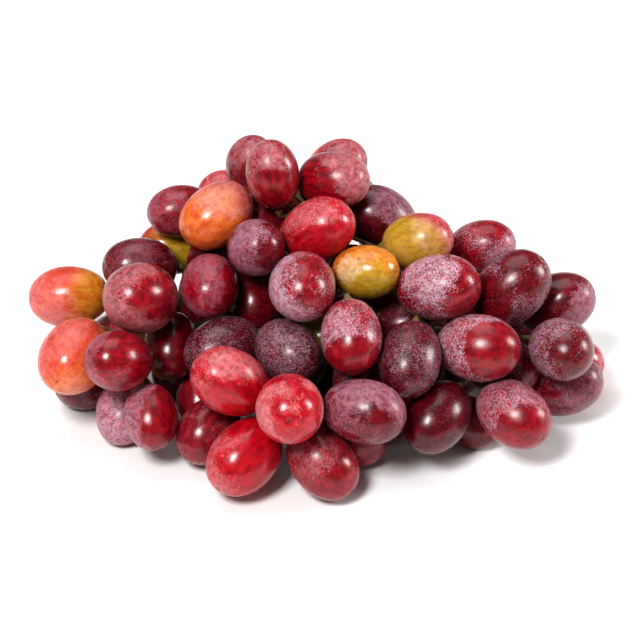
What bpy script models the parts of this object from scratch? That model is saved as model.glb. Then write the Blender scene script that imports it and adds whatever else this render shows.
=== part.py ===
"""A bunch of red table grapes, cut from the vine and laid on a flat surface, in metres with +Z up.

The bunch's tip points to -Y and its cut stalk to +Y, and two long shoulders spread to -X and +X.
Every berry is first laid out on the show face, a plane that leans back over the surface. The berries
are then settled: they push each other, the stem and the surface away until a small gap is left.
Last, the short stalks grow from the main stem to the berries through the space that is still free.
"""

import heapq
import math

import bmesh
import bpy
import numpy as np
from mathutils import Matrix, Vector

MM = 0.001

# Berries
BERRY_LENGTH = 26.0 * MM
BERRY_WIDTH = 19.5 * MM
BERRY_GAP = 0.3 * MM
REST_FLAT = 0.5 * MM  # how much a berry that lies on the surface is flattened
PRESSED = 1.6 * MM  # how far the berries of one joined group run into each other
BERRY_SEGMENTS = 12
BERRY_RINGS = 7

# Stem
RACHIS_RADIUS = 2.2 * MM
SHOULDER_RADIUS = 1.5 * MM
PEDICEL_RADIUS = 0.75 * MM
CAP_RADIUS = 1.7 * MM
CAP_LENGTH = 2.2 * MM
STEM_GAP = 0.3 * MM
STEM_STEP = 1.6 * MM  # spacing of the grid that the stalks grow on

# The layout below is drawn for berries with this mean diameter, and it grows and shrinks with them.
LAYOUT_BERRY = 21.5 * MM
SCALE = (BERRY_LENGTH * BERRY_WIDTH * BERRY_WIDTH) ** (1 / 3) / LAYOUT_BERRY

# The show face: X runs across it, FACE_UP climbs it and FACE_IN goes into the bunch.
FACE_LEAN = math.radians(35)
ACROSS = np.array((1.0, 0.0, 0.0))
FACE_UP = np.array((0.0, math.sin(FACE_LEAN), math.cos(FACE_LEAN)))
FACE_IN = np.array((0.0, math.cos(FACE_LEAN), -math.sin(FACE_LEAN)))

SKINS = {
    "bright": (0.50, 0.020, 0.030),
    "crimson": (0.30, 0.012, 0.030),
    "maroon": (0.12, 0.008, 0.022),
    "rose": (0.42, 0.050, 0.070),
    "orange": (0.55, 0.110, 0.030),
    "golden": (0.50, 0.300, 0.040),
}
STEM_COLOUR = (0.22, 0.20, 0.06)

# Each row is one berry: across, up and depth on the show face in millimetres, its size against the
# standard berry, the direction of its stalk end (degrees turned from +X on the face, degrees tilted
# into the bunch) and its skin.
LEFT = [
    (-75, 60, 46, 0.95, 3, 0, "orange"),
    (-71, 42, 22, 1.05, 60, 50, "orange"),
    (-57, 41, 10, 0.91, 0, 57, "crimson"),
    (-51, 58, 14, 1.07, 0, 68, "rose"),
    (-53, 69, 34, 0.91, 0, 25, "maroon"),
    (-48, 25, 12, 0.81, 100, 30, "crimson"),
    (-57, 26, 20, 0.88, 80, 40, "rose"),
    (-68, 34, 31, 0.90, 20, 30, "maroon"),
    (-36, 32, 28, 0.80, 90, 30, "golden"),
    (-41, 44, 37, 0.85, 90, 30, "maroon"),
]
CROWN = [
    (-41, 86, 44, 0.81, 10, 20, "crimson"),
    (-29, 84, 24, 0.95, 38, 15, "orange"),
    (-27, 92, 46, 0.75, 0, 20, "rose"),
    (-20, 100, 37, 0.76, -110, 45, "rose"),
    (-13, 96, 21, 0.82, -80, 20, "rose"),
    (-43, 75, 51, 0.85, 0, 20, "golden"),
    (-18, 74, 20, 0.86, 180, 75, "maroon"),
    (-30, 72, 35, 0.85, 60, 40, "maroon"),
    (-15, 82, 34, 0.90, 60, 40, "maroon"),
    (6, 99, 43, 0.81, 210, 25, "rose"),
    (5, 94, 29, 0.89, 175, 30, "crimson"),
    (1, 79, 11, 0.95, 205, 32, "crimson"),
    (20, 83, 39, 0.98, -35, 20, "maroon"),
    (30, 76, 26, 0.87, 188, 30, "golden"),
]
MIDDLE = [
    (-31, 63, 11, 0.89, 90, 58, "crimson"),
    (-4, 61, 4, 1.00, 90, 68, "rose"),
    (-27, 45, 9, 0.95, 25, 30, "maroon"),
    (-10, 45, 3, 0.92, 140, 50, "maroon"),
    (5, 48, 20, 0.85, 20, 50, "golden"),
    (-19, 60, 31, 0.88, 90, 30, "maroon"),
    (14, 68, 11, 0.82, 180, 30, "orange"),
    (11, 48, 0, 0.91, 95, 32, "crimson"),
    (27, 40, 7, 0.93, 80, 32, "maroon"),
    (12, 35, 15, 0.78, 90, 30, "maroon"),
]
FRONT = [
    (-24, 35, -8, 0.98, -28, 30, "bright"),
    (-8, 28, -12, 1.00, 90, 75, "bright"),
    (-21, 14, 1, 1.00, 50, 25, "bright"),
    (-32, 21, 11, 0.88, 50, 30, "rose"),
    (14, 27, -4, 0.96, 170, 20, "crimson"),
    (10, 19, 7, 0.88, 170, 20, "crimson"),
    (2, 12, -2, 0.93, 130, 5, "crimson"),
]
RIGHT = [
    (36, 62, 7, 1.00, 185, 30, "crimson"),
    (50, 75, 38, 0.84, 192, 25, "maroon"),
    (58, 62, 17, 1.03, 225, 20, "crimson"),
    (47, 45, 9, 1.01, 175, 32, "crimson"),
    (72, 58, 32, 0.94, 200, 20, "crimson"),
    (71, 44, 16, 0.93, 150, 68, "crimson"),
    (73, 34, 29, 0.89, 200, 20, "rose"),
    (57, 26, 4, 0.96, 140, 35, "bright"),
    (76, 40, 39, 0.88, 180, 30, "rose"),
    (45, 21, 18, 0.76, 150, 20, "bright"),
    (35, 26, 8, 0.95, 52, 35, "maroon"),
    (58, 39, 24, 0.90, 150, 40, "maroon"),
]
SINGLE_BERRIES = {"left": LEFT, "crown": CROWN, "middle": MIDDLE, "front": FRONT, "right": RIGHT}


def unit(vector):
    return vector / np.linalg.norm(vector)


def face_point(across, up, depth):
    return SCALE * MM * (across * ACROSS + up * FACE_UP + depth * FACE_IN)


def face_direction(turn, tilt):
    turn, tilt = math.radians(turn), math.radians(tilt)
    on_face = math.cos(turn) * ACROSS + math.sin(turn) * FACE_UP
    return math.cos(tilt) * on_face + math.sin(tilt) * FACE_IN


# Hidden berries that fill the bunch and close its back, in joined groups that press against each other
# along a chain: the centre in millimetres from the middle of the tip's foot, the size, and the stalk
# end's direction (degrees turned from +X about Z, degrees raised).
HIDDEN_GROUPS = {
    "back_left": [
        (-57, 78, 22, 0.74, -40, -20, "maroon"),
        (-61, 70, 7, 0.88, -40, 10, "crimson"),
        (-45, 79, 7, 0.95, -60, 10, "maroon"),
        (-27, 87, 7, 0.92, -80, 10, "crimson"),
    ],
    "back_middle": [
        (-6, 95, 7, 0.95, -90, 10, "crimson"),
        (14, 96, 7, 0.92, -100, 10, "maroon"),
    ],
    "back_right": [
        (34, 90, 7, 0.95, -120, 10, "crimson"),
        (53, 81, 7, 0.90, -130, 10, "rose"),
        (69, 70, 7, 0.85, -150, 10, "crimson"),
        (55, 68, 22, 0.80, -160, -30, "maroon"),
    ],
    "upper_back": [
        (-35, 94, 25, 0.86, -60, -10, "rose"),
        (-17, 98, 26, 0.86, -80, -10, "crimson"),
        (-7, 97, 41, 0.78, -90, -40, "crimson"),
        (11, 97, 41, 0.78, -100, -40, "rose"),
        (26, 93, 30, 0.84, -110, -10, "crimson"),
        (44, 84, 25, 0.85, -130, -10, "maroon"),
    ],
    "inner_left": [
        (-49, 51, 11, 0.75, 60, 70, "maroon"),
        (-31, 60, 9, 0.76, 90, 20, "maroon"),
        (-13, 55, 10, 0.90, 60, 60, "maroon"),
        (5, 50, 9, 0.76, 0, 20, "maroon"),
        (-10, 39, 9, 0.86, 150, 60, "crimson"),
        (8, 37, 8, 0.70, 100, 30, "maroon"),
        (25, 38, 8, 0.80, 90, 40, "maroon"),
    ],
    "inner_right": [
        (-14, 78, 18, 0.78, 60, 50, "maroon"),
        (4, 73, 10, 0.92, 90, 60, "maroon"),
        (22, 69, 9, 0.76, 120, 50, "maroon"),
        (40, 61, 8, 0.82, 90, 40, "maroon"),
        (43, 44, 8, 0.80, 30, 40, "maroon"),
        (28, 47, 13, 0.78, 130, 10, "maroon"),
        (24, 43, 30, 0.72, 180, -10, "maroon"),
        (26, 60, 32, 0.74, 5, -45, "maroon"),
        (12, 70, 35, 0.72, 130, -40, "maroon"),
        (-4, 57, 38, 0.72, 110, -10, "maroon"),
    ],
}

# The stem's main lines, hand-laid through the middle of the bunch in millimetres from the middle of
# the tip's foot.
RACHIS = [(2, 44, 16), (2, 52, 19), (2, 65, 25), (4, 84, 30), (5, 102, 32), (7, 114, 34)]
LEFT_SHOULDER = [(2, 65, 25), (-18, 66, 19), (-38, 63, 18), (-56, 57, 19)]
RIGHT_SHOULDER = [(2, 65, 25), (20, 64, 20), (38, 61, 18), (55, 57, 20)]
CROWN_BRANCH = [(3, 76, 28), (2, 76, 38), (2, 73, 48)]
# Each line's points, its radius, and how that radius changes from its first point to its last.
STEM_LINES = {
    "rachis": (RACHIS, RACHIS_RADIUS, (0.6, 1.25)),
    "left_shoulder": (LEFT_SHOULDER, SHOULDER_RADIUS, (1.2, 0.6)),
    "right_shoulder": (RIGHT_SHOULDER, SHOULDER_RADIUS, (1.2, 0.6)),
    "crown_branch": (CROWN_BRANCH, SHOULDER_RADIUS, (1.0, 0.7)),
}

# Settling
DIRECTIONS = 500
SETTLING_ROUNDS = 450
HOLD_ON_FACE = 0.06  # how strongly a berry keeps its place on the show face
HOLD_IN_DEPTH = 0.004
HOLD_HIDDEN = 0.03  # the same for a hidden berry, in every direction
DRAWN_IN = 0.12 * MM  # how far each round draws a berry towards the stem
GIVE_ON_FACE = 0.15  # how easily it gives way across the face, against 1 into the bunch
PUSH_SHARE = 0.6  # share of an overlap that one round clears
PULL_FADE = 1.3  # the hold and the drawing in fade out before the last round

# Growing
TIGHT_TOLL = 1.5  # how much longer a way through a narrow gap counts
OPEN_TOLL = 4.0  # how much longer a way through the open air outside the berries counts
OPEN_ROOM = 4 * MM
BEND_MARGIN = 0.25 * MM  # extra room for the chords between a stalk's points
SMOOTHING_ROUNDS = 60
SMOOTHING = 0.5
CELLS_AT_ONCE = 20000
POINTS_SKIPPED = 4
THICKENING = 0.35  # a stalk's radius grows with the berries beyond it, to this power
LINE_SPACING = 5 * MM
BEAD_SPACING = 1.2 * MM
CAP_SHOULDER = 0.4  # share of the cap's length at which it starts to narrow
CAP_NARROWING = 0.8  # its radius there, against its radius at the berry
ROOTED = 0.6  # how far a stalk runs on into what it grows from, in its own radii


class Berry:
    """A spheroid with its long axis along the direction of its stalk end."""

    def __init__(self, name, centre, size, axis, skin, on_face):
        self.name = name
        self.centre = np.array(centre)
        self.half_length = size * BERRY_LENGTH / 2
        self.half_width = size * BERRY_WIDTH / 2
        self.axis = unit(np.array(axis))
        self.skin = skin
        self.on_face = on_face

    def stalk_end(self, beyond=0.0):
        return self.centre + (self.half_length + beyond) * self.axis


def face_berries():
    berries = []
    for region, rows in SINGLE_BERRIES.items():
        for number, (across, up, depth, size, turn, tilt, skin) in enumerate(rows, 1):
            centre = face_point(across, up, depth)
            axis = face_direction(turn, tilt)
            berries.append(Berry(f"grape_{region}_{number:02d}", centre, size, axis, skin, True))
    return berries


def hidden_berries():
    berries = []
    for group, rows in HIDDEN_GROUPS.items():
        for x, y, z, size, turn, rise, skin in rows:
            turn, rise = math.radians(turn), math.radians(rise)
            level = math.cos(rise)
            axis = (level * math.cos(turn), level * math.sin(turn), math.sin(rise))
            centre = SCALE * MM * np.array((x, y, z))
            berries.append(Berry(f"grapes_{group}", centre, size, axis, skin, False))
    return berries


def smooth_line(points, spacing):
    """Evenly spaced points on a Catmull-Rom curve through the given ones."""
    points = [SCALE * MM * np.array(p, float) for p in points]
    ends = [2 * points[0] - points[1], *points, 2 * points[-1] - points[-2]]
    fine = []
    for a, b, c, d in zip(ends, ends[1:], ends[2:], ends[3:]):
        for t in np.linspace(0, 1, 20, endpoint=False):
            along = (c - a) * t + (2 * a - 5 * b + 4 * c - d) * t**2 + (3 * b - a - 3 * c + d) * t**3
            fine.append(b + along / 2)
    fine = np.array([*fine, points[-1]])
    run = np.concatenate([[0], np.cumsum(np.linalg.norm(np.diff(fine, axis=0), axis=1))])
    wanted = np.linspace(0, run[-1], max(2, round(run[-1] / spacing) + 1))
    return np.stack([np.interp(wanted, run, fine[:, k]) for k in range(3)], axis=1)


def sphere_directions(count):
    """Unit vectors spread evenly by the golden angle."""
    k = np.arange(count) + 0.5
    z = 1 - 2 * k / count
    turn = math.pi * (1 + math.sqrt(5)) * k
    level = np.sqrt(1 - z * z)
    return np.stack([level * np.cos(turn), level * np.sin(turn), z], axis=1)


def reach(half_length, half_width, axis, directions):
    """How far a spheroid reaches from its centre in each direction."""
    along = directions @ axis
    return np.sqrt(half_width**2 + (half_length**2 - half_width**2) * along**2)


class Shapes:
    """The solids that settle: each berry, the stalk's cap on it, and beads along the main stem."""

    def __init__(self, berries, beads):
        self.directions = sphere_directions(DIRECTIONS)
        count = len(berries)
        self.owner = np.array([*range(count), *range(count), *[-1] * len(beads)])
        self.is_berry = np.arange(len(self.owner)) < count
        cap_offsets = [b.stalk_end(STEM_GAP + CAP_LENGTH / 2) - b.centre for b in berries]
        bead_centres = [centre for centre, _ in beads]
        self.offset = np.array([*[np.zeros(3)] * count, *cap_offsets, *bead_centres])
        reaches = [reach(b.half_length, b.half_width, b.axis, self.directions) for b in berries]
        caps = [np.full(DIRECTIONS, CAP_RADIUS)] * count
        stems = [np.full(DIRECTIONS, radius) for _, radius in beads]
        self.reach = np.array([*reaches, *caps, *stems])
        self.widest = self.reach.max(axis=1)
        first, second = np.triu_indices(len(self.owner), 1)
        apart = self.owner[first] != self.owner[second]
        with_berry = self.is_berry[first] | self.is_berry[second]
        self.first, self.second = first[apart & with_berry], second[apart & with_berry]
        names = np.array([b.name for b in berries] + [""])
        joined = names[self.owner[self.first]] == names[self.owner[self.second]]
        joined &= self.is_berry[self.first] & self.is_berry[self.second]
        neighbours = self.second - self.first == 1
        self.gap = np.where(joined, -PRESSED, BERRY_GAP)
        self.pulled = joined & neighbours

    def places(self, centres):
        return self.offset + np.where(self.owner[:, None] >= 0, centres[self.owner], 0)

    def overlaps(self, centres):
        """(first, second, overlap, direction) of each close pair; a negative overlap is a gap too wide."""
        places = self.places(centres)
        between = places[self.second] - places[self.first]
        room = self.widest[self.first] + self.widest[self.second] + BERRY_GAP
        close = (np.einsum("ij,ij->i", between, between) < room**2) | self.pulled
        first, second, between = self.first[close], self.second[close], between[close]
        depth = self.reach[first] + self.reach[second] - between @ self.directions.T
        best = depth.argmin(axis=1)
        overlap = depth[np.arange(len(best)), best] + self.gap[close]
        acting = (overlap > 0) | self.pulled[close]
        return first[acting], second[acting], overlap[acting], self.directions[best[acting]]


def draw_in(centres, stem_points, on_face):
    """A short move of each berry towards the stem: in depth on the show face, level if it is hidden."""
    to_stem = stem_points[None] - centres[:, None]
    distance = np.linalg.norm(to_stem, axis=2)
    nearest = distance.argmin(axis=1)
    rows = np.arange(len(centres))
    move = to_stem[rows, nearest] / distance[rows, nearest][:, None]
    inward = (move @ FACE_IN)[:, None] * FACE_IN
    level = move * (1.0, 1.0, 0.0)
    return DRAWN_IN * np.where(on_face[:, None], inward, level)


def settle(berries, beads):
    """Moves the berries until none overlaps or sinks into the surface, and returns the worst overlap."""
    shapes = Shapes(berries, beads)
    wanted = np.array([b.centre for b in berries])
    centres = wanted.copy()
    on_face = np.array([b.on_face for b in berries])
    inward = np.outer(FACE_IN, FACE_IN)
    give = np.where(
        on_face[:, None, None], GIVE_ON_FACE * np.eye(3) + (1 - GIVE_ON_FACE) * inward, np.eye(3)
    )
    face_hold = HOLD_ON_FACE * np.eye(3) - (HOLD_ON_FACE - HOLD_IN_DEPTH) * inward
    hold = np.where(on_face[:, None, None], face_hold, HOLD_HIDDEN * np.eye(3))
    stem_points = np.array([centre for centre, _ in beads])
    down = np.array((0.0, 0.0, -1.0))
    lowest = np.array([reach(b.half_length, b.half_width, b.axis, down) for b in berries]) - REST_FLAT
    for step in range(SETTLING_ROUNDS):
        move = np.zeros_like(centres)
        first, second, overlap, direction = shapes.overlaps(centres)
        for side, sign in ((first, -1.0), (second, 1.0)):
            owner = shapes.owner[side]
            other = shapes.owner[second if sign < 0 else first]
            held = owner >= 0
            share = np.where(other >= 0, 0.5, 1.0)
            eased = np.einsum("ijk,ik->ij", give[owner], direction)
            eased /= np.einsum("ij,ij->i", eased, direction)[:, None]
            push = sign * (share * overlap)[:, None] * eased
            np.add.at(move, owner[held], PUSH_SHARE * push[held])
        sunk = np.maximum(lowest - centres[:, 2], 0)
        lift = give[:, :, 2] / give[:, 2, 2][:, None]
        centres = centres + move + sunk[:, None] * lift
        pull = max(0.0, 1 - PULL_FADE * step / SETTLING_ROUNDS)
        centres += pull * np.einsum("bij,bj->bi", hold, wanted - centres)
        centres += pull * draw_in(centres, stem_points, on_face)
    for berry, centre in zip(berries, centres):
        berry.centre = centre
    _, _, overlap, _ = shapes.overlaps(centres)
    return float(overlap.max(initial=0.0))


def stem_line(name, spacing):
    """The points of one main line of the stem, and its radius at each."""
    points, radius, taper = STEM_LINES[name]
    line = smooth_line(points, spacing)
    return line, radius * np.linspace(*taper, len(line))


def stem_beads():
    """Points along the main stem lines that keep the berries off them."""
    beads = []
    for name in STEM_LINES:
        line, radii = stem_line(name, BEAD_SPACING)
        beads += [(point, radius + 2 * STEM_GAP) for point, radius in zip(line, radii)]
    return beads


class Clearance:
    """The distance from any point to the nearest berry's surface, and the way out of it."""

    def __init__(self, berries):
        self.centres = np.array([b.centre for b in berries])
        self.squares = []
        for berry in berries:
            along = np.outer(berry.axis, berry.axis)
            stretch = along / berry.half_length + (np.eye(3) - along) / berry.half_width
            self.squares.append(stretch @ stretch)
        self.squares = np.array(self.squares)

    def at(self, points):
        """(distance, outward direction) for each point, exact near a surface."""
        offset = points[:, None, :] - self.centres
        pulled = np.einsum("pbi,bij->pbj", offset, self.squares)
        inside = np.sqrt(np.einsum("pbi,pbi->pb", offset, pulled))
        steep = np.linalg.norm(pulled, axis=2)
        distance = inside * (inside - 1) / np.maximum(steep, 1e-9)
        nearest = distance.argmin(axis=1)
        rows = np.arange(len(points))
        out = pulled[rows, nearest] / np.maximum(steep[rows, nearest], 1e-9)[:, None]
        return distance[rows, nearest], out


class Grid:
    """A cubic grid over the bunch, with the room around each of its points."""

    def __init__(self, berries, clearance):
        centres = np.array([b.centre for b in berries])
        margin = BERRY_LENGTH / 2
        self.low = centres.min(axis=0) - margin
        self.low[2] = STEM_STEP
        self.counts = np.ceil((centres.max(axis=0) + margin - self.low) / STEM_STEP).astype(int)
        self.strides = np.array((self.counts[1] * self.counts[2], self.counts[2], 1))
        self.room = np.empty(self.counts.prod())
        for start in range(0, len(self.room), CELLS_AT_ONCE):
            cells = np.arange(start, min(start + CELLS_AT_ONCE, len(self.room)))
            self.room[cells] = clearance.at(self.point(cells))[0]

    def point(self, cell):
        steps = np.stack([cell // self.strides[0], cell // self.strides[1] % self.counts[1],
                          cell % self.counts[2]], axis=-1)
        return self.low + STEM_STEP * steps

    def nearest(self, point):
        steps = np.clip(np.rint((point - self.low) / STEM_STEP).astype(int), 1, self.counts - 2)
        return int(steps @ self.strides)

    def moves(self):
        """(change of cell, length) of a step to each of the 26 neighbours."""
        steps = np.stack(np.meshgrid(*[(-1, 0, 1)] * 3, indexing="ij"), axis=-1).reshape(-1, 3)
        return [(int(s @ self.strides), float(np.linalg.norm(s))) for s in steps if s.any()]

    def on_edge(self):
        inner = np.zeros(self.counts, bool)
        inner[1:-1, 1:-1, 1:-1] = True
        return ~inner.ravel()


def shortest_ways(grid, roots, targets):
    """(length, cell before) for each cell reached from the roots; a roomy way counts as shorter."""
    need = PEDICEL_RADIUS + STEM_GAP
    blocked = (grid.room < need) | grid.on_edge()
    toll = 1 + (TIGHT_TOLL * need / np.maximum(grid.room, need)) ** 2
    toll += OPEN_TOLL * np.maximum(grid.room / OPEN_ROOM - 1, 0)
    moves = grid.moves()
    length = {root: 0.0 for root in roots}
    before = {}
    waiting = [(0.0, root) for root in roots]
    heapq.heapify(waiting)
    missing = set(targets)
    while waiting and missing:
        so_far, cell = heapq.heappop(waiting)
        if so_far > length[cell]:
            continue
        missing.discard(cell)
        for change, step in moves:
            beside = cell + change
            if blocked[beside]:
                continue
            total = so_far + step * toll[beside]
            if total < length.get(beside, math.inf):
                length[beside] = total
                before[beside] = cell
                heapq.heappush(waiting, (total, beside))
    if missing:
        raise RuntimeError(f"no free way from the stem to {len(missing)} of the berries")
    return length, before


def free_cell_near(grid, point):
    """The free cell closest to a point."""
    need = PEDICEL_RADIUS + STEM_GAP
    start = grid.nearest(point)
    around = [start + change for change, _ in grid.moves()]
    cells = np.array([start, *around, *[a + change for a in around for change, _ in grid.moves()]])
    cells = np.unique(cells[grid.room[cells] >= need])
    if not len(cells):
        raise RuntimeError("a berry's stalk end has no free space beside it")
    return int(cells[np.linalg.norm(grid.point(cells) - point, axis=1).argmin()])


class Stalks:
    """The pedicels as a web of points: each way runs from a berry to the stem or to an older way."""

    def __init__(self):
        self.points = []
        self.fixed = []
        self.ways = []

    def add(self, point, fixed):
        self.points.append(np.array(point))
        self.fixed.append(fixed)
        return len(self.points) - 1

    def links(self):
        return [pair for way in self.ways for pair in zip(way, way[1:])]

    def smooth(self, clearance):
        """Rounds the ways off and keeps them clear of the berries."""
        points = np.array(self.points)
        free = ~np.array(self.fixed)
        ends = np.array(self.links())
        count = np.bincount(ends.ravel(), minlength=len(points))
        need = PEDICEL_RADIUS + STEM_GAP + BEND_MARGIN
        for _ in range(SMOOTHING_ROUNDS):
            total = np.zeros_like(points)
            np.add.at(total, ends[:, 0], points[ends[:, 1]])
            np.add.at(total, ends[:, 1], points[ends[:, 0]])
            mean = total / count[:, None]
            points[free] += SMOOTHING * (mean - points)[free]
            room, out = clearance.at(points)
            short = np.maximum(need - room, 0)
            short[~free] = 0
            points += short[:, None] * out
        self.points = list(points)


def grow_stalks(berries, stem_points):
    clearance = Clearance(berries)
    grid = Grid(berries, clearance)
    roots = {grid.nearest(point): point for point in stem_points}
    necks = [berry.stalk_end(STEM_GAP + CAP_LENGTH) for berry in berries]
    targets = [free_cell_near(grid, neck) for neck in necks]
    length, before = shortest_ways(grid, roots, targets)
    stalks = Stalks()
    placed = {}
    for k in sorted(range(len(berries)), key=lambda k: length[targets[k]]):
        contact = stalks.add(berries[k].stalk_end(STEM_GAP), True)
        way = [contact, stalks.add(necks[k], True)]
        cell = targets[k]
        while cell not in placed:
            point = roots.get(cell)
            placed[cell] = stalks.add(grid.point(cell) if point is None else point, point is not None)
            way.append(placed[cell])
            if point is not None:
                break
            cell = before[cell]
        else:
            way.append(placed[cell])
        stalks.ways.append(way)
    stalks.smooth(clearance)
    return stalks, clearance


def kept_points(way, junctions):
    """The way's points with only some of those between its ends and its junctions."""
    kept = [way[0], way[1]]
    since = 0
    for index in way[2:-1]:
        since += 1
        if index in junctions or since >= POINTS_SKIPPED:
            kept.append(index)
            since = 0
    return [*kept, way[-1]]


def way_radii(stalks, clearance):
    """Each point's radius: thicker where more berries hang beyond it, where the berries leave room."""
    after = {}
    for way in reversed(stalks.ways):
        after.update(zip(way, way[1:]))
    carried = np.zeros(len(stalks.points))
    for way in stalks.ways:
        index = way[0]
        while index is not None:
            carried[index] += 1
            index = after.get(index)
    room, _ = clearance.at(np.array(stalks.points))
    thick = PEDICEL_RADIUS * np.maximum(carried, 1) ** THICKENING
    return np.maximum(np.minimum(np.minimum(thick, room - STEM_GAP), SHOULDER_RADIUS), PEDICEL_RADIUS)


def clear_scene():
    for obj in list(bpy.data.objects):
        bpy.data.objects.remove(obj)


def collection(name):
    made = bpy.data.collections.new(name)
    bpy.context.scene.collection.children.link(made)
    return made


def skin_material(name, colour):
    material = bpy.data.materials.new(name)
    material.use_nodes = True
    shader = material.node_tree.nodes["Principled BSDF"]
    shader.inputs["Base Color"].default_value = (*colour, 1.0)
    shader.inputs["Roughness"].default_value = 0.3
    shader.inputs["Metallic"].default_value = 0.0
    material.diffuse_color = (*colour, 1.0)
    return material


def stem_material(name):
    material = skin_material(name, STEM_COLOUR)
    material.node_tree.nodes["Principled BSDF"].inputs["Roughness"].default_value = 0.7
    return material


def berry_frame(berry):
    turn = Vector(berry.axis).to_track_quat("Z", "Y").to_matrix().to_4x4()
    return Matrix.Translation(Vector(berry.centre)) @ turn


def flatten_at_surface(shape, frame):
    """Cuts the berry off level with the surface that it lies on, and closes it with a flat."""
    back = frame.inverted()
    foot = back @ Vector((0, 0, 0))
    down = back.to_3x3() @ Vector((0, 0, -1))
    everything = [*shape.verts, *shape.edges, *shape.faces]
    bmesh.ops.bisect_plane(shape, geom=everything, plane_co=foot, plane_no=down, clear_outer=True)
    rim = [edge for edge in shape.edges if edge.is_boundary]
    bmesh.ops.contextual_create(shape, geom=rim)


def berry_shape(berry, frame):
    shape = bmesh.new()
    bmesh.ops.create_uvsphere(shape, u_segments=BERRY_SEGMENTS, v_segments=BERRY_RINGS, radius=1.0)
    size = (berry.half_width, berry.half_width, berry.half_length)
    bmesh.ops.scale(shape, vec=size, verts=shape.verts)
    if min((frame @ vert.co).z for vert in shape.verts) < 0:
        flatten_at_surface(shape, frame)
    return shape


def add_berry(name, berry, target):
    frame = berry_frame(berry)
    shape = berry_shape(berry, frame)
    mesh = bpy.data.meshes.new(name)
    shape.to_mesh(mesh)
    shape.free()
    mesh.shade_smooth()
    mesh.materials.append(skin_material(f"{name}_skin", SKINS[berry.skin]))
    obj = bpy.data.objects.new(name, mesh)
    obj.matrix_world = frame
    target.objects.link(obj)
    return obj


def hide_helper(obj):
    obj.hide_render = True
    obj.display_type = "WIRE"


def unite(obj, others):
    """Joins the objects of a collection to this one as one closed body."""
    join = obj.modifiers.new("join", "BOOLEAN")
    join.operation = "UNION"
    join.operand_type = "COLLECTION"
    join.collection = others
    join.solver = "EXACT"


def add_berries(berries, target):
    """One object for each name; berries that share a name are joined where they press together."""
    groups = {}
    for berry in berries:
        groups.setdefault(berry.name, []).append(berry)
    made = []
    for name, members in groups.items():
        first = add_berry(name, members[0], target)
        if len(members) > 1:
            pressed = collection(f"{name}_pressed")
            for number, berry in enumerate(members[1:], 2):
                hide_helper(add_berry(f"{name}_{number}", berry, pressed))
            unite(first, pressed)
        made.append(first)
    return made


def tube(name, points, radii, target):
    """A closed tube through the points, each with its own radius."""
    curve = bpy.data.curves.new(name, "CURVE")
    curve.dimensions = "3D"
    curve.bevel_depth = MM
    curve.bevel_resolution = 1
    curve.use_fill_caps = True
    spline = curve.splines.new("POLY")
    spline.points.add(len(points) - 1)
    for knot, point, radius in zip(spline.points, points, radii):
        knot.co = (*point, 1.0)
        knot.radius = radius / MM
    drawn = bpy.data.objects.new(name, curve)
    target.objects.link(drawn)
    graph = bpy.context.evaluated_depsgraph_get()
    mesh = bpy.data.meshes.new_from_object(drawn.evaluated_get(graph))
    place = drawn.matrix_world.copy()
    bpy.data.objects.remove(drawn)
    shape = bmesh.new()
    shape.from_mesh(mesh)
    bmesh.ops.remove_doubles(shape, verts=shape.verts, dist=0.001 * MM)
    bmesh.ops.recalc_face_normals(shape, faces=shape.faces)
    shape.to_mesh(mesh)
    shape.free()
    mesh.shade_smooth()
    made = bpy.data.objects.new(name, mesh)
    made.matrix_world = place
    target.objects.link(made)
    return made


def stalk_tube(name, berry, way, stalks, radii, junctions, target):
    kept = kept_points(way, junctions)
    points = [np.array(stalks.points[index]) for index in kept]
    sizes = [radii[index] for index in kept]
    sizes[-1] = sizes[-2]
    last = unit(points[-1] - points[-2])
    points[-1] = points[-1] + ROOTED * sizes[-1] * last
    shoulder = berry.stalk_end(STEM_GAP + CAP_SHOULDER * CAP_LENGTH)
    points.insert(1, shoulder)
    sizes = [CAP_RADIUS, CAP_NARROWING * CAP_RADIUS, *sizes[1:]]
    return tube(name, points, sizes, target)


def add_stem(berries, target, helpers):
    """The main lines and every berry's stalk, joined as one body."""
    lines = {name: stem_line(name, LINE_SPACING) for name in STEM_LINES}
    stalks, clearance = grow_stalks(berries, np.concatenate([line for line, _ in lines.values()]))
    radii = way_radii(stalks, clearance)
    junctions = {way[-1] for way in stalks.ways}
    made = {}
    for name, (points, sizes) in lines.items():
        made[name] = tube(name, points, sizes, helpers if name != "rachis" else target)
    for number, way in enumerate(stalks.ways):
        berry = min(berries, key=lambda b: np.linalg.norm(b.stalk_end(STEM_GAP) - stalks.points[way[0]]))
        stalk_tube(f"pedicel_{number:02d}", berry, way, stalks, radii, junctions, helpers)
    stem = made["rachis"]
    stem.name = "stem"
    stem.data.materials.append(stem_material("stem_bark"))
    for obj in helpers.objects:
        hide_helper(obj)
    unite(stem, helpers)
    return stem


def shift_to_origin(objects):
    """The move that brings the middle of the bunch's box over the origin, on z = 0."""
    bpy.context.view_layer.update()
    graph = bpy.context.evaluated_depsgraph_get()
    corners = []
    for obj in objects:
        solid = obj.evaluated_get(graph)
        corners += [solid.matrix_world @ vert.co for vert in solid.data.vertices]
    corners = np.array(corners)
    middle = (corners.min(axis=0) + corners.max(axis=0)) / 2
    return Vector((-middle[0], -middle[1], -corners[:, 2].min()))


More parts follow.
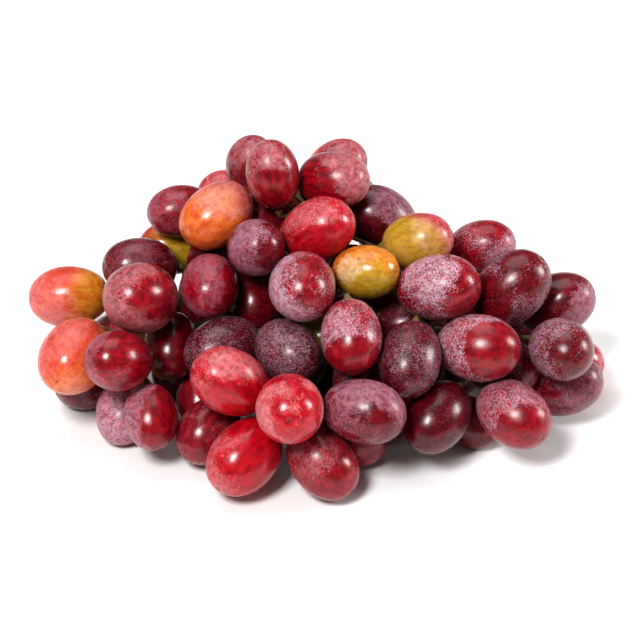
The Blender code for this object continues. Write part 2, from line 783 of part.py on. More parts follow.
def main():
    clear_scene()
    bunch = collection("grape_bunch")
    helpers = collection("stem_branches")
    berries = face_berries() + hidden_berries()
    worst = settle(berries, stem_beads())
    if worst > BERRY_GAP / 2:
        raise RuntimeError(f"the berries are too crowded to settle: {worst / MM:.2f} mm too close")
    objects = [*add_berries(berries, bunch), add_stem(berries, bunch, helpers)]
    root = bpy.data.objects.new("bunch_root", None)
    bunch.objects.link(root)
    root.location = shift_to_origin(objects)
    for obj in bpy.data.objects:
        if obj is not root:
            obj.parent = root
    bpy.context.view_layer.update()


if __name__ == "__main__":
    main()
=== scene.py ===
"""A bunch of red table grapes: its looks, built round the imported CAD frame. Metres, +Z up."""

import math

import bmesh
import bpy
from mathutils import Matrix, Vector, noise
from mathutils.kdtree import KDTree


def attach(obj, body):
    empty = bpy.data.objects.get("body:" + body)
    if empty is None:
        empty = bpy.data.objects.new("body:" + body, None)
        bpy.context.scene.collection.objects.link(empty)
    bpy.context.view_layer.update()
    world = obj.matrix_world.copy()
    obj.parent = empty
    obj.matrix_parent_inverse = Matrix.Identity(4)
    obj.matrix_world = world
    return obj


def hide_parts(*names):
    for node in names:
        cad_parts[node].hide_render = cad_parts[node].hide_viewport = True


MM = 0.001

# Camera
TARGET = Vector((0.0011, -0.0111, 0.035))
ELEVATION = math.radians(35)
DISTANCE = 0.8
LENS = 153.0
TO_CAMERA = Vector((0.0, -math.cos(ELEVATION), math.sin(ELEVATION)))
SEEN_RIGHT = Vector((1.0, 0.0, 0.0))
SEEN_UP = Vector((0.0, math.sin(ELEVATION), math.cos(ELEVATION)))
FLOOR_HALF_SIZE = 6.0

# The CAD's berries: spheroids of 12 segments and 7 rings, 26 mm long for every 19.5 mm of width
CAD_SEGMENTS = 12
CAD_RING_ANGLE = math.pi / 7
CAD_ROUNDNESS = 26.0 / 19.5
ROUNDNESS_SPREAD = 0.03
RING_SPREAD = 0.02
MERGE_DISTANCE = 1e-6
FLAT_POLE = 1e-5  # a vertex that stands this little above its neighbours is no pole

# The berries made here
SEGMENTS = 64
RINGS = 44
FULLNESS = (0.93, 0.05)  # how blunt the ends are: the least, and the most that is added
TAPER = 0.03  # how much narrower the stalk end is than the middle
SWELLINGS = [(0.022, 0.9, 1), (0.006, 3.0, -1)]  # height, frequency and side of each unevenness
# Swellings (rise, distance from the axis, spread): the shoulder round the stalk, and the flower's scar
STALK_END = [(0.32 * MM, 0.0, 2.4 * MM), (-0.55 * MM, 3.4 * MM, 1.2 * MM)]
BLOSSOM_END = [(0.40 * MM, 0.0, 0.9 * MM), (-0.22 * MM, 0.0, 0.28 * MM)]
END_CROWDING = 0.10  # how much closer the rings lie near a berry's ends

# Skin colours, linear: the light and the dark streaks of each
SKINS = {
    "bright": ((0.50, 0.006, 0.016), (0.28, 0.002, 0.008)),
    "crimson": ((0.32, 0.004, 0.014), (0.14, 0.001, 0.006)),
    "deep": ((0.18, 0.002, 0.008), (0.07, 0.001, 0.003)),
    "maroon": ((0.130, 0.003, 0.010), (0.045, 0.001, 0.004)),
    "dusky": ((0.28, 0.010, 0.020), (0.14, 0.003, 0.010)),
    "rose": ((0.50, 0.035, 0.045), (0.30, 0.010, 0.020)),
    "salmon": ((0.68, 0.100, 0.050), (0.50, 0.040, 0.025)),
    "rust": ((0.52, 0.065, 0.025), (0.36, 0.022, 0.012)),
    "orange": ((0.68, 0.190, 0.040), (0.55, 0.080, 0.020)),
    "amber": ((0.62, 0.260, 0.030), (0.50, 0.120, 0.012)),
    "golden": ((0.52, 0.330, 0.030), (0.36, 0.200, 0.015)),
    "green": ((0.36, 0.300, 0.060), (0.24, 0.180, 0.025)),
}
# The colour of the waxy bloom where it is thick
BLOOM = {
    "grey": (0.80, 0.68, 0.80),
    "lavender": (0.76, 0.56, 0.68),
    "pink": (0.84, 0.44, 0.46),
    "mauve": (0.62, 0.32, 0.42),
    "cream": (0.86, 0.66, 0.46),
}


def look(skin, bloom, cover, chalk, grain, patches=(), blush=None):
    """How a berry's skin looks. Directions are (right, up) on the disc that the camera sees.

    cover: how much of the skin the bloom covers. chalk: how opaque it is. grain: how speckled.
    patches: (right, up, size, strength) with more bloom, or rubbed clean where strength is negative.
    blush: (skin, right, up, size) where the skin has another colour.
    """
    return dict(skin=skin, bloom=bloom, cover=cover, chalk=chalk, grain=grain, patches=patches, blush=blush)


LOOKS = {
    # left shoulder
    "grape_left_01": look("salmon", "pink", 0.45, 0.28, 0.35,
                          [(-0.7, -0.6, 0.9, 0.5), (0.3, 0.5, 0.7, -0.3)], ("amber", 0.95, -0.1, 0.75)),
    "grape_left_02": look("orange", "pink", 0.40, 0.23, 0.3,
                          [(-0.6, 0.6, 0.7, 0.3), (0.3, -0.9, 0.6, 0.3)], ("salmon", -0.6, 0.7, 0.9)),
    "grape_left_03": look("crimson", "mauve", 0.45, 0.30, 0.5,
                          [(-0.6, 0.3, 0.9, 0.4), (0.8, 0.0, 0.9, -0.7), (0.0, -0.9, 0.5, 0.4)]),
    "grape_left_04": look("crimson", "pink", 0.50, 0.34, 0.5,
                          [(-0.6, 0.1, 0.9, 0.35), (0.35, -0.1, 0.4, -0.5), (0.1, -0.95, 0.5, 0.5)]),
    "grape_left_05": look("deep", "mauve", 0.40, 0.18, 0.4,
                          [(-0.5, -0.3, 0.7, 0.3), (0.1, 0.9, 0.4, 0.3), (0.5, -0.5, 0.7, 0.2)]),
    "grape_left_06": look("crimson", "lavender", 0.40, 0.33, 0.6,
                          [(-0.5, 0.8, 0.5, 0.6), (-0.4, -0.4, 0.6, 0.4), (0.8, 0.0, 0.8, -0.6)]),
    "grape_left_07": look("crimson", "lavender", 0.66, 0.50, 0.6, [(-0.5, 0.2, 0.9, 0.3)]),
    "grape_left_08": look("deep", "lavender", 0.50, 0.25, 0.6),
    "grape_left_09": look("dusky", "mauve", 0.20, 0.12, 0.4),
    # this berry's dark skin and scant bloom are partly its own colour and partly painted shade, as it lies
    # in the bunch's shadow
    "grape_left_10": look("deep", "mauve", 0.10, 0.05, 0.4, [], ("green", -0.9, -0.6, 0.5)),
    # crown
    "grape_crown_01": look("crimson", "mauve", 0.45, 0.26, 0.5, [(-0.5, -0.2, 0.7, 0.3)]),
    "grape_crown_02": look("rust", "pink", 0.32, 0.32, 0.3,
                           [(0.1, 0.6, 0.6, 0.6), (0.7, 0.5, 0.5, 0.4), (-0.5, -0.5, 0.6, -0.2)],
                           ("orange", -0.2, -0.2, 0.8)),
    "grape_crown_03": look("rose", "pink", 0.5, 0.28, 0.5, [(0.1, 0.5, 0.6, 0.3)]),
    "grape_crown_04": look("dusky", "pink", 0.5, 0.30, 0.4, [(-0.2, 0.8, 0.6, 0.3)]),
    "grape_crown_05": look("crimson", "pink", 0.48, 0.36, 0.45,
                           [(-0.6, 0.1, 0.7, 0.3), (0.0, -0.5, 0.45, -0.7), (0.1, 0.8, 0.6, 0.2)]),
    "grape_crown_06": look("golden", "cream", 0.2, 0.15, 0.3, [], ("rose", -0.9, 0.3, 0.5)),
    "grape_crown_07": look("deep", "mauve", 0.42, 0.50, 0.6,
                           [(-0.1, -0.4, 0.7, 0.5), (0.0, 0.8, 0.5, 0.5), (0.8, 0.1, 0.6, -0.6)]),
    "grape_crown_08": look("deep", "mauve", 0.3, 0.10, 0.5),
    "grape_crown_09": look("deep", "mauve", 0.3, 0.10, 0.5),
    "grape_crown_10": look("salmon", "pink", 0.5, 0.30, 0.5,
                           [(0.4, 0.6, 0.6, 0.4)], ("crimson", 0.2, 0.0, 0.8)),
    "grape_crown_11": look("crimson", "pink", 0.38, 0.35, 0.5,
                           [(0.8, 0.0, 0.5, 0.7), (-0.1, 0.9, 0.45, 0.5), (-0.2, 0.1, 0.4, 0.35),
                            (-0.8, -0.2, 0.6, -0.5)]),
    "grape_crown_12": look("bright", "pink", 0.42, 0.36, 0.6,
                           [(-0.3, 0.1, 0.6, 0.4), (0.2, -0.8, 0.7, -0.7), (0.3, 0.6, 0.5, 0.1)]),
    "grape_crown_13": look("maroon", "mauve", 0.22, 0.38, 0.6, [(0.6, 0.6, 0.7, 0.7)]),
    "grape_crown_14": look("rose", "pink", 0.40, 0.28, 0.6,
                           [(0.6, 0.4, 0.6, 0.4)], ("golden", -0.7, -0.6, 1.15)),
    # middle
    "grape_middle_01": look("crimson", "mauve", 0.40, 0.28, 0.4,
                            [(-0.1, 0.95, 0.5, 0.8), (-0.5, 0.0, 0.7, 0.3), (-0.1, -0.95, 0.4, 0.4)]),
    "grape_middle_02": look("crimson", "grey", 0.46, 0.48, 0.7,
                            [(-0.9, 0.1, 0.7, 0.7), (-0.3, -0.9, 0.5, 0.6), (0.15, 0.3, 0.5, -0.5),
                             (0.7, 0.2, 0.35, 0.5)]),
    "grape_middle_03": look("maroon", "lavender", 0.55, 0.26, 1.0),
    "grape_middle_04": look("maroon", "lavender", 0.50, 0.34, 1.1, [(-0.5, 0.4, 0.8, 0.3)]),
    "grape_middle_05": look("green", "cream", 0.20, 0.10, 0.3),
    # this berry's dark skin and thin bloom are partly its own colour and partly painted shade, as it lies
    # deep in the bunch's shadow
    "grape_middle_06": look("deep", "mauve", 0.35, 0.12, 0.5),
    "grape_middle_07": look("amber", "cream", 0.12, 0.50, 0.15,
                            [(-0.65, 0.1, 0.40, 0.95)], ("golden", 0.0, -0.8, 0.8)),
    "grape_middle_08": look("crimson", "lavender", 0.62, 0.52, 0.8,
                            [(0.0, -0.75, 0.55, -0.95), (-0.7, 0.1, 0.6, 0.3)]),
    "grape_middle_09": look("maroon", "lavender", 0.42, 0.26, 1.0,
                            [(0.2, -0.3, 0.6, 0.3), (0.0, -0.9, 0.5, -0.5)]),
    "grape_middle_10": look("deep", "lavender", 0.5, 0.35, 0.7),
    # front
    "grape_front_01": look("bright", "pink", 0.36, 0.32, 0.35,
                           [(-0.6, 0.4, 0.6, 0.35), (0.4, 0.6, 0.5, 0.4), (0.2, -0.7, 0.6, -0.4)]),
    "grape_front_02": look("bright", "pink", 0.34, 0.42, 0.4,
                           [(-0.5, 0.0, 0.55, 0.6), (0.85, 0.3, 0.5, 0.6), (0.3, -0.1, 0.5, -0.5)]),
    "grape_front_03": look("bright", "pink", 0.32, 0.26, 0.4,
                           [(-0.6, -0.1, 0.6, 0.5), (-0.7, 0.6, 0.4, 0.4), (0.4, 0.3, 0.8, -0.4)]),
    "grape_front_04": look("dusky", "pink", 0.45, 0.24, 0.4),
    "grape_front_05": look("deep", "mauve", 0.48, 0.40, 0.4,
                           [(0.0, 0.9, 0.6, 0.5), (-0.6, 0.2, 0.6, 0.2), (0.85, 0.2, 0.4, 0.4)]),
    "grape_front_06": look("dusky", "mauve", 0.50, 0.15, 0.4),
    "grape_front_07": look("crimson", "pink", 0.48, 0.28, 0.5,
                           [(0.4, -0.8, 0.5, -0.5), (-0.4, 0.2, 0.6, 0.2)]),
    # right shoulder
    "grape_right_01": look("crimson", "grey", 0.55, 0.56, 1.0,
                           [(-0.4, 0.35, 0.6, 0.6), (0.65, -0.2, 0.4, -0.8), (0.0, -0.8, 0.6, 0.1),
                            (-0.9, -0.1, 0.4, -0.4)]),
    "grape_right_02": look("crimson", "lavender", 0.58, 0.50, 1.0,
                           [(0.4, 0.6, 0.35, -0.8), (0.8, -0.2, 0.5, 0.5), (-0.7, -0.3, 0.5, -0.3)]),
    "grape_right_03": look("deep", "lavender", 0.60, 0.42, 1.1,
                           [(0.4, 0.55, 0.5, -0.7), (-0.75, -0.3, 0.5, -0.6), (0.9, 0.3, 0.3, 0.5)]),
    "grape_right_04": look("crimson", "grey", 0.58, 0.50, 1.1,
                           [(0.4, -0.05, 0.55, -1.4), (-0.4, 0.6, 0.8, 0.3), (0.95, 0.2, 0.25, 0.9)]),
    "grape_right_05": look("deep", "mauve", 0.32, 0.40, 0.5, [(0.8, -0.2, 0.5, 0.7)]),
    "grape_right_06": look("deep", "lavender", 0.60, 0.42, 1.1,
                           [(-0.4, 0.5, 0.9, 0.25), (0.4, -0.2, 0.5, -0.8)]),
    "grape_right_07": look("deep", "mauve", 0.50, 0.36, 0.6, [(0.6, 0.2, 0.7, 0.35)]),
    "grape_right_08": look("crimson", "lavender", 0.56, 0.42, 1.2,
                           [(0.3, -0.6, 0.6, -1.2), (-0.3, 0.6, 0.8, 0.35)]),
    "grape_right_09": look("rose", "lavender", 0.6, 0.30, 0.4),
    "grape_right_10": look("deep", "mauve", 0.20, 0.15, 0.4),
    "grape_right_11": look("maroon", "mauve", 0.18, 0.12, 0.7, [(0.3, 0.5, 0.5, 0.2)]),
    "grape_right_12": look("deep", "lavender", 0.40, 0.20, 0.7),
}
BACK_LOOKS = [
    look("crimson", "mauve", 0.50, 0.30, 0.6),
    look("deep", "lavender", 0.55, 0.30, 0.7),
    look("bright", "pink", 0.42, 0.25, 0.4),
    look("maroon", "lavender", 0.50, 0.30, 0.7),
    look("rose", "pink", 0.50, 0.30, 0.5),
    look("salmon", "pink", 0.45, 0.25, 0.4, [], ("amber", 0.8, 0.2, 0.8)),
]
# Skins of the berries inside the bunch: dark maroon with thin bloom, partly their own colour and partly
# painted shade for the dark inside of the bunch
INNER_LOOKS_WITH_PAINTED_SHADE = [
    look("maroon", "mauve", 0.35, 0.15, 0.5),
    look("deep", "mauve", 0.30, 0.12, 0.5),
    look("maroon", "lavender", 0.45, 0.20, 0.7),
]
SCAR = (0.045, 0.022, 0.012)
COLLAR = (0.16, 0.08, 0.03)
SPECKS = (0.10, 0.03, 0.02)
PATCH_STRENGTH = 0.90
CLEAN_ROUGHNESS = 0.23
SKIN_SHADER = {
    "IOR": 1.45,
    "Subsurface Weight": 0.30,
    "Subsurface Radius": (1.0, 0.16, 0.12),
    "Subsurface Scale": 3.0 * MM,
    "Coat Weight": 0.15,
    "Coat Roughness": 0.12,
    "Sheen Weight": 0.03,
    "Sheen Roughness": 0.35,
    "Sheen Tint": (1.0, 0.75, 0.80, 1.0),
}
STEM_VOXEL = 0.45 * MM
STEM_ROUGHNESS = 0.13 * MM
STEM_GREEN = (0.13, 0.12, 0.035)
STEM_TAN = (0.15, 0.085, 0.030)
STEM_DARK = (0.045, 0.024, 0.010)


def seen(right, up):
    """The direction, from a berry's centre, of a place on the disc that the camera sees."""
    level = min(1.0, math.hypot(right, up))
    scale = level / max(math.hypot(right, up), 1e-9)
    toward = math.sqrt(max(0.0, 1.0 - level * level))
    return right * scale * SEEN_RIGHT + up * scale * SEEN_UP + toward * TO_CAMERA


def clean_copy(cad):
    """The CAD mesh as a bmesh with its doubled points merged."""
    shape = bmesh.new()
    shape.from_mesh(cad.data)
    bmesh.ops.remove_doubles(shape, verts=shape.verts, dist=MERGE_DISTANCE)
    return shape


def spheroids(cad):
    """(centre, axis, half length, half width) of each berry in a CAD node, from the poles that show."""
    shape = clean_copy(cad)
    found = []
    for vert in shape.verts:
        if len(vert.link_edges) != CAD_SEGMENTS:
            continue
        ring = [edge.other_vert(vert).co for edge in vert.link_edges]
        middle = sum(ring, Vector()) / len(ring)
        offset = (vert.co - middle).length
        radii = [(point - middle).length for point in ring]
        if offset < FLAT_POLE or max(radii) - min(radii) > RING_SPREAD * max(radii):
            continue
        half_length = offset / (1 - math.cos(CAD_RING_ANGLE))
        half_width = sum(radii) / len(radii) / math.sin(CAD_RING_ANGLE)
        if abs(half_length / half_width - CAD_ROUNDNESS) > ROUNDNESS_SPREAD:
            continue
        axis = (vert.co - middle).normalized()
        centre = vert.co - half_length * axis
        if all((centre - other[0]).length > MM for other in found):
            found.append((centre, axis, half_length, half_width))
    shape.free()
    return sorted(found, key=lambda b: (round(b[0].x, 4), round(b[0].y, 4), round(b[0].z, 4)))


def turned_to_stem(berry, stem_tree):
    """The same berry with its axis pointing to its stalk end."""
    centre, axis, half_length, half_width = berry
    ends = [(stem_tree.find(centre + sign * half_length * axis)[2], sign) for sign in (1, -1)]
    return centre, axis * min(ends)[1], half_length, half_width


def berry_points(half_length, half_width, seed):
    """Rings of points from the stalk end to the other, slightly uneven as a grown berry is."""
    least, added = FULLNESS
    fullness = least + added * noise.random()
    shift = Vector((seed * 1.37, seed * 2.11, seed * 0.73))
    rings = []
    for ring in range(1, RINGS):
        u = ring / RINGS
        angle = math.pi * (u - END_CROWDING * math.sin(2 * math.pi * u))
        for k in range(SEGMENTS):
            turn = 2 * math.pi * k / SEGMENTS
            level = math.sin(angle) ** fullness
            rings.append((level * math.cos(turn), level * math.sin(turn), math.cos(angle)))
    points = [(0.0, 0.0, 1.0), *rings, (0.0, 0.0, -1.0)]
    made = []
    for x, y, z in points:
        direction = Vector((x, y, z))
        swell = 1.0
        for rise, frequency, side in SWELLINGS:
            swell += rise * noise.noise(frequency * direction + side * shift)
        taper = 1.0 - TAPER * z
        radius = half_width * math.hypot(x, y)
        height = z * half_length * swell
        features = STALK_END if z > 0 else BLOSSOM_END
        height += sum(rise * math.exp(-(((radius - far) / spread) ** 2)) for rise, far, spread in features)
        made.append(Vector((x * half_width * swell * taper, y * half_width * swell * taper, height)))
    return made


def berry_faces():
    """Quads between the rings and triangles at the two ends."""
    last = 1 + (RINGS - 1) * SEGMENTS
    faces = []
    for k in range(SEGMENTS):
        after = (k + 1) % SEGMENTS
        faces.append((0, 1 + k, 1 + after))
        for ring in range(RINGS - 2):
            a, b = 1 + ring * SEGMENTS, 1 + (ring + 1) * SEGMENTS
            faces.append((a + k, b + k, b + after, a + after))
        low = 1 + (RINGS - 2) * SEGMENTS
        faces.append((last, low + after, low + k))
    return faces


FACES = berry_faces()


def press(point, flats):
    """Moves a point back onto the flat where its berry presses on the surface or on another berry."""
    for place, normal in flats:
        past = (point - place).dot(normal)
        if past > 0:
            point = point - past * normal
    return point


def contacts(berry, group):
    """(point, outward direction) of each flat that a berry is pressed to."""
    centre, _, _, half_width = berry
    flats = [(Vector((0, 0, 0)), Vector((0, 0, -1)))]
    for other in group:
        if other is berry:
            continue
        between = other[0] - centre
        share = half_width / (half_width + other[3])
        flats.append((centre + share * between, between.normalized()))
    return flats


def make_berry(name, berry, group, seed):
    centre, axis, half_length, half_width = berry
    noise.seed_set(seed)
    turn = axis.to_track_quat("Z", "Y").to_matrix().to_4x4()
    place = Matrix.Translation(centre) @ turn
    back = place.inverted()
    flats = contacts(berry, group)
    points = [back @ press(place @ p, flats) for p in berry_points(half_length, half_width, seed)]
    mesh = bpy.data.meshes.new(name)
    mesh.from_pydata(points, [], FACES)
    mesh.shade_smooth()
    obj = bpy.data.objects.new(name, mesh)
    obj.matrix_world = place
    bpy.context.scene.collection.objects.link(obj)
    return obj


class Nodes:
    """A short way to write a material's node tree."""

    def __init__(self, name):
        self.material = bpy.data.materials.new(name)
        self.material.use_nodes = True
        self.tree = self.material.node_tree
        self.shader = self.tree.nodes["Principled BSDF"]

    def add(self, kind, **settings):
        node = self.tree.nodes.new(kind)
        for key, value in settings.items():
            setattr(node, key, value)
        return node

    def put(self, socket, value):
        if isinstance(value, bpy.types.NodeSocket):
            self.tree.links.new(value, socket)
        else:
            socket.default_value = value

    def math(self, operation, a, b=0.0, c=0.0, clamp=False):
        node = self.add("ShaderNodeMath", operation=operation, use_clamp=clamp)
        for socket, value in zip(node.inputs, (a, b, c)):
            self.put(socket, value)
        return node.outputs[0]

    def vector(self, operation, a, b=(0, 0, 0)):
        node = self.add("ShaderNodeVectorMath", operation=operation)
        self.put(node.inputs[0], a)
        if operation != "NORMALIZE":
            self.put(node.inputs[1], b)
        return node.outputs["Value" if operation == "DOT_PRODUCT" else "Vector"]

    def scaled(self, vector, amount):
        node = self.add("ShaderNodeVectorMath", operation="SCALE")
        self.put(node.inputs[0], vector)
        self.put(node.inputs["Scale"], amount)
        return node.outputs["Vector"]

    def mix(self, factor, a, b):
        node = self.add("ShaderNodeMix", data_type="RGBA")
        self.put(node.inputs[0], factor)
        for socket, value in ((node.inputs[6], a), (node.inputs[7], b)):
            self.put(socket, value if isinstance(value, bpy.types.NodeSocket) else (*value, 1.0))
        return node.outputs[2]

    def step(self, value, low, high, to_low=0.0, to_high=1.0):
        """A smooth step from to_low to to_high as the value goes from low to high."""
        node = self.add("ShaderNodeMapRange", interpolation_type="SMOOTHSTEP")
        for key, number in (("Value", value), ("From Min", low), ("From Max", high),
                            ("To Min", to_low), ("To Max", to_high)):
            self.put(node.inputs[key], number)
        return node.outputs["Result"]

    def noise(self, vector, scale, detail=2.0, roughness=0.5, distortion=0.0):
        node = self.add("ShaderNodeTexNoise")
        for key, value in (("Vector", vector), ("Scale", scale), ("Detail", detail),
                           ("Roughness", roughness), ("Distortion", distortion)):
            self.put(node.inputs[key], value)
        return node.outputs[0]

    def voronoi(self, vector, scale):
        node = self.add("ShaderNodeTexVoronoi")
        self.put(node.inputs["Vector"], vector)
        self.put(node.inputs["Scale"], scale)
        return node.outputs["Distance"]

    def bump(self, height, strength, distance, normal=None):
        node = self.add("ShaderNodeBump")
        self.put(node.inputs["Height"], height)
        self.put(node.inputs["Strength"], strength)
        self.put(node.inputs["Distance"], distance)
        if normal is not None:
            self.put(node.inputs["Normal"], normal)
        return node.outputs["Normal"]


class Skin:
    """One berry's skin: its patterns, in the berry's own frame and in half widths of the berry."""

    def __init__(self, nodes, to_local, half_width, seed):
        self.n = n = nodes
        self.to_local = to_local
        place = n.add("ShaderNodeTexCoord").outputs["Object"]
        self.unit = n.scaled(place, 1 / half_width)
        self.out = n.vector("NORMALIZE", place)
        self.grown = n.vector("ADD", self.unit, (seed * 3.7, seed * 1.9, seed * 5.3))
        stretched = n.vector("MULTIPLY", self.grown, (1.0, 1.0, 0.45))
        self.broad = n.noise(self.grown, 1.15, 3.0, 0.55)
        self.middle = n.noise(self.grown, 3.6, 3.0, 0.6)
        self.fine = n.noise(self.grown, 19.0, 2.0, 0.65, 0.6)
        self.dust = n.noise(self.grown, 52.0, 2.0, 0.6)
        self.streaks = n.noise(stretched, 5.5, 4.0, 0.65, 0.3)
        self.edge = n.math("MULTIPLY_ADD", self.middle, 0.55, n.math("MULTIPLY", self.fine, 0.20))

    def towards(self, right, up):
        """How near each point is to a direction: 1 there, 0 a quarter turn away."""
        return self.n.vector("DOT_PRODUCT", self.out, tuple(self.to_local @ seen(right, up)))

    def region(self, right, up, size):
        """1 round a direction and 0 beyond size, with an uneven edge; size 1 reaches a quarter turn."""
        uneven = self.n.math("MULTIPLY_ADD", self.edge, 0.7, -0.26)
        ragged = self.n.math("ADD", self.towards(right, up), uneven)
        limit = math.cos(size * math.pi / 2)
        return self.n.step(ragged, limit - 0.10, limit + 0.16)

    def streaky(self, skin):
        light, dark = SKINS[skin]
        return self.n.mix(self.n.step(self.streaks, 0.34, 0.66), dark, light)

    def flesh(self, style):
        """The skin's own colour, with its blush."""
        n = self.n
        colour = self.streaky(style["skin"])
        if not style["blush"]:
            return colour
        other, right, up, size = style["blush"]
        near = n.math("ADD", self.towards(right, up), n.math("MULTIPLY_ADD", self.broad, 0.7, -0.35))
        limit = math.cos(size * math.pi / 2)
        return n.mix(n.step(near, limit - 0.30, limit + 0.35), colour, self.streaky(other))

    def bloom(self, style):
        """(how opaque the bloom is at each point, its speckled thickness)"""
        n = self.n
        grain = style["grain"]
        cover = n.math("MULTIPLY_ADD", self.broad, 1.3, style["cover"] - 0.74)
        cover = n.math("MULTIPLY_ADD", n.math("SUBTRACT", self.middle, 0.5), 0.7, cover)
        for right, up, size, strength in style["patches"]:
            cover = n.math("MULTIPLY_ADD", self.region(right, up, size), strength * PATCH_STRENGTH, cover)
        speckled = n.math("MULTIPLY_ADD", n.math("SUBTRACT", self.fine, 0.5), grain * 3.2, cover)
        speckled = n.math("MULTIPLY_ADD", n.math("SUBTRACT", self.dust, 0.5), grain * 1.0, speckled)
        thick = n.step(speckled, 0.38, 0.80)
        haze = n.step(cover, 0.1, 0.9, 0.0, 0.08)
        least = 1.0 - 0.8 * min(1.0, grain)
        holes = n.step(n.noise(self.grown, 27.0, 1.0, 0.5, 0.4), 0.40, 0.50, least, 1.0)
        uneven = n.step(n.noise(self.grown, 6.5, 3.0, 0.6), 0.32, 0.64, 0.40, 1.20)
        dense = n.math("MULTIPLY", n.math("MAXIMUM", thick, haze), n.math("MULTIPLY", holes, uneven))
        return n.math("MULTIPLY", dense, style["chalk"], clamp=True), speckled

    def bloom_colour(self, style):
        tint = BLOOM[style["bloom"]]
        return self.n.mix(self.n.step(self.dust, 0.35, 0.7), tuple(0.82 * c for c in tint), tint)

    def with_marks(self, colour, height):
        """The colour with the scar at one end, the collar round the stalk at the other, and specks."""
        n = self.n
        along = n.add("ShaderNodeSeparateXYZ")
        n.put(along.inputs[0], self.unit)
        x, y, z = along.outputs
        level = n.math("SQRT", n.math("ADD", n.math("POWER", x, 2.0), n.math("POWER", y, 2.0)))
        scar = n.math("MULTIPLY", n.step(level, 0.020, 0.055, 1.0, 0.0),
                      n.step(z, -0.6 * height, -0.5 * height, 1.0, 0.0))
        collar = n.math("MULTIPLY", n.step(level, 0.22, 0.40, 1.0, 0.0),
                        n.step(z, 0.5 * height, 0.6 * height))
        specks = n.step(n.voronoi(self.grown, 7.0), 0.035, 0.075, 1.0, 0.0)
        colour = n.mix(n.math("MULTIPLY", scar, 0.85), colour, SCAR)
        colour = n.mix(n.math("MULTIPLY", collar, 0.35), colour, COLLAR)
        return n.mix(n.math("MULTIPLY", specks, 0.35), colour, SPECKS)


def skin_material(name, style, to_local, half_width, half_length, seed):
    n = Nodes(name)
    skin = Skin(n, to_local, half_width, seed)
    amount, speckled = skin.bloom(style)
    colour = n.mix(amount, skin.flesh(style), skin.bloom_colour(style))
    n.put(n.shader.inputs["Base Color"], skin.with_marks(colour, half_length / half_width))
    rough = n.math("MULTIPLY_ADD", amount, 0.75, CLEAN_ROUGHNESS)
    rough = n.math("MULTIPLY_ADD", n.math("SUBTRACT", skin.fine, 0.5), 0.22, rough, clamp=True)
    n.put(n.shader.inputs["Roughness"], rough)
    for socket, value in SKIN_SHADER.items():
        n.shader.inputs[socket].default_value = value
    relief = n.bump(speckled, 0.35, 0.06 * MM)
    n.put(n.shader.inputs["Normal"], n.bump(skin.streaks, 0.25, 0.10 * MM, relief))
    return n.material


def stem_material():
    n = Nodes("stem_bark_look")
    place = n.add("ShaderNodeTexCoord").outputs["Object"]
    broad = n.noise(place, 90.0, 3.0, 0.55)
    grain = n.noise(place, 700.0, 4.0, 0.65)
    warts = n.voronoi(place, 1400.0)
    colour = n.mix(n.step(broad, 0.38, 0.62), STEM_GREEN, STEM_TAN)
    colour = n.mix(n.step(grain, 0.52, 0.75, 0.0, 0.75), colour, STEM_DARK)
    colour = n.mix(n.step(warts, 0.05, 0.25, 0.6, 0.0), colour, STEM_DARK)
    n.put(n.shader.inputs["Base Color"], colour)
    n.put(n.shader.inputs["Roughness"], n.step(grain, 0.2, 0.8, 0.5, 0.85))
    n.shader.inputs["Subsurface Weight"].default_value = 0.1
    n.shader.inputs["Subsurface Radius"].default_value = (1.0, 0.8, 0.3)
    n.shader.inputs["Subsurface Scale"].default_value = 0.6 * MM
    relief = n.bump(grain, 0.7, 0.18 * MM)
    relief = n.bump(warts, 0.4, 0.10 * MM, relief)
    n.put(n.shader.inputs["Normal"], relief)
    return n.material


def make_stem(cad):
    shape = clean_copy(cad)
    mesh = bpy.data.meshes.new("stem_look")
    shape.to_mesh(mesh)
    shape.free()
    obj = bpy.data.objects.new("stem_look", mesh)
    bpy.context.scene.collection.objects.link(obj)
    remesh = obj.modifiers.new("remesh", "REMESH")
    remesh.mode = "VOXEL"
    remesh.voxel_size = STEM_VOXEL
    smooth = obj.modifiers.new("smooth", "SMOOTH")
    smooth.factor = 0.5
    smooth.iterations = 3
    graph = bpy.context.evaluated_depsgraph_get()
    fine = bpy.data.meshes.new_from_object(obj.evaluated_get(graph))
    obj.modifiers.clear()
    obj.data = fine
    normals = [vert.normal.copy() for vert in fine.vertices]
    for vert, normal in zip(fine.vertices, normals):
        swell = noise.noise(vert.co / (1.6 * MM)) + 0.5 * noise.noise(vert.co / (0.7 * MM))
        vert.co += normal * STEM_ROUGHNESS * swell
    obj.data.shade_smooth()
    obj.data.materials.clear()
    obj.data.materials.append(stem_material())
    return obj


def build_bunch(frame):
    stem_cad = frame["nodes"]["stem"]
    tree = KDTree(len(stem_cad.data.vertices))
    for vert in stem_cad.data.vertices:
        tree.insert(vert.co, vert.index)
    tree.balance()
    seed = 0
    for node, cad in sorted(frame["nodes"].items()):
        if node == "stem":
            continue
        group = [turned_to_stem(berry, tree) for berry in spheroids(cad)]
        if not group:
            raise ValueError(f"no berry was found in {node}")
        for number, berry in enumerate(group, 1):
            seed += 1
            name = f"{node}_berry" if len(group) == 1 else f"{node}_berry_{number}"
            obj = make_berry(name, berry, group, seed)
            # the inner berries take the darker skins, partly painted shade for the inside of the bunch
            hidden = INNER_LOOKS_WITH_PAINTED_SHADE if "inner" in node else BACK_LOOKS
            style = LOOKS.get(node) or hidden[seed % len(hidden)]
            to_local = obj.matrix_world.to_3x3().inverted()
            material = skin_material(f"{name}_skin", style, to_local, berry[3], berry[2], seed)
            obj.data.materials.append(material)
            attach(obj, "root")
            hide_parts(node)
    stem = make_stem(stem_cad)
    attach(stem, "root")
    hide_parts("stem")


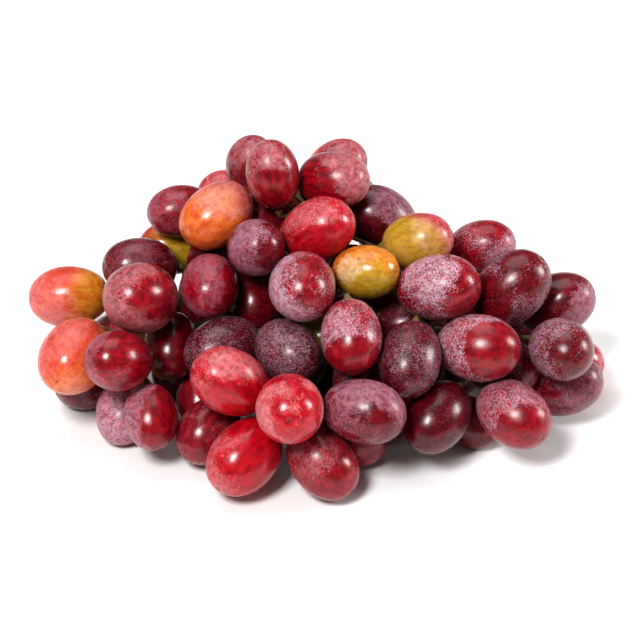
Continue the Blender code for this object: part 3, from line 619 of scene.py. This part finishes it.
def make_floor():
    n = Nodes("floor_look")
    place = n.add("ShaderNodeTexCoord").outputs["Object"]
    tone = n.step(n.noise(place, 3.0, 2.0), 0.3, 0.7)
    n.put(n.shader.inputs["Base Color"], n.mix(tone, (0.90, 0.90, 0.90), (0.93, 0.93, 0.93)))
    n.shader.inputs["Roughness"].default_value = 0.9
    n.shader.inputs["Specular IOR Level"].default_value = 0.1
    mesh = bpy.data.meshes.new("floor")
    s = FLOOR_HALF_SIZE
    mesh.from_pydata([(-s, -s, 0), (s, -s, 0), (s, s, 0), (-s, s, 0)], [], [(0, 1, 2, 3)])
    mesh.materials.append(n.material)
    floor = bpy.data.objects.new("floor", mesh)
    bpy.context.scene.collection.objects.link(floor)


def area_light(name, direction, distance, size, watts):
    data = bpy.data.lights.new(name, "AREA")
    data.shape = "RECTANGLE"
    data.size, data.size_y = size
    data.energy = watts
    obj = bpy.data.objects.new(name, data)
    direction = Vector(direction).normalized()
    obj.location = TARGET + distance * direction
    obj.rotation_euler = direction.to_track_quat("Z", "Y").to_euler()
    bpy.context.scene.collection.objects.link(obj)


def make_lights():
    area_light("key", seen(-0.30, 0.32), 1.1, (0.28, 0.32), 11.0)
    area_light("right", seen(0.93, 0.35), 0.9, (0.24, 0.32), 5.0)
    area_light("top", (-0.1, 0.35, 1.0), 1.0, (0.8, 0.8), 4.2)
    world = bpy.data.worlds.new("studio")
    world.use_nodes = True
    world.node_tree.nodes["Background"].inputs["Color"].default_value = (1.0, 1.0, 1.0, 1.0)
    world.node_tree.nodes["Background"].inputs["Strength"].default_value = 0.20
    bpy.context.scene.world = world


def make_camera():
    data = bpy.data.cameras.new("camera")
    data.lens = LENS
    data.sensor_width = 36.0
    data.clip_start, data.clip_end = 0.05, 50.0
    obj = bpy.data.objects.new("camera", data)
    obj.location = TARGET + DISTANCE * TO_CAMERA
    obj.rotation_euler = (math.pi / 2 - ELEVATION, 0.0, 0.0)
    bpy.context.scene.collection.objects.link(obj)
    bpy.context.scene.camera = obj


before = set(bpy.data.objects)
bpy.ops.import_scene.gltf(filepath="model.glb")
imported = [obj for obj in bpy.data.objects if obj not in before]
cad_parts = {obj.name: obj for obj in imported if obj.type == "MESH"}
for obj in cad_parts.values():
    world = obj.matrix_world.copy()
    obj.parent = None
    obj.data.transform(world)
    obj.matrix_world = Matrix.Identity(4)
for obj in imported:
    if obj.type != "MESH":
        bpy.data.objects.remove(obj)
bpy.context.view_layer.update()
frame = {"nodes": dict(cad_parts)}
build_bunch(frame)
make_floor()
make_lights()
make_camera()
bpy.context.scene.view_settings.view_transform = "Standard"
bpy.context.scene.view_settings.look = "Medium High Contrast"
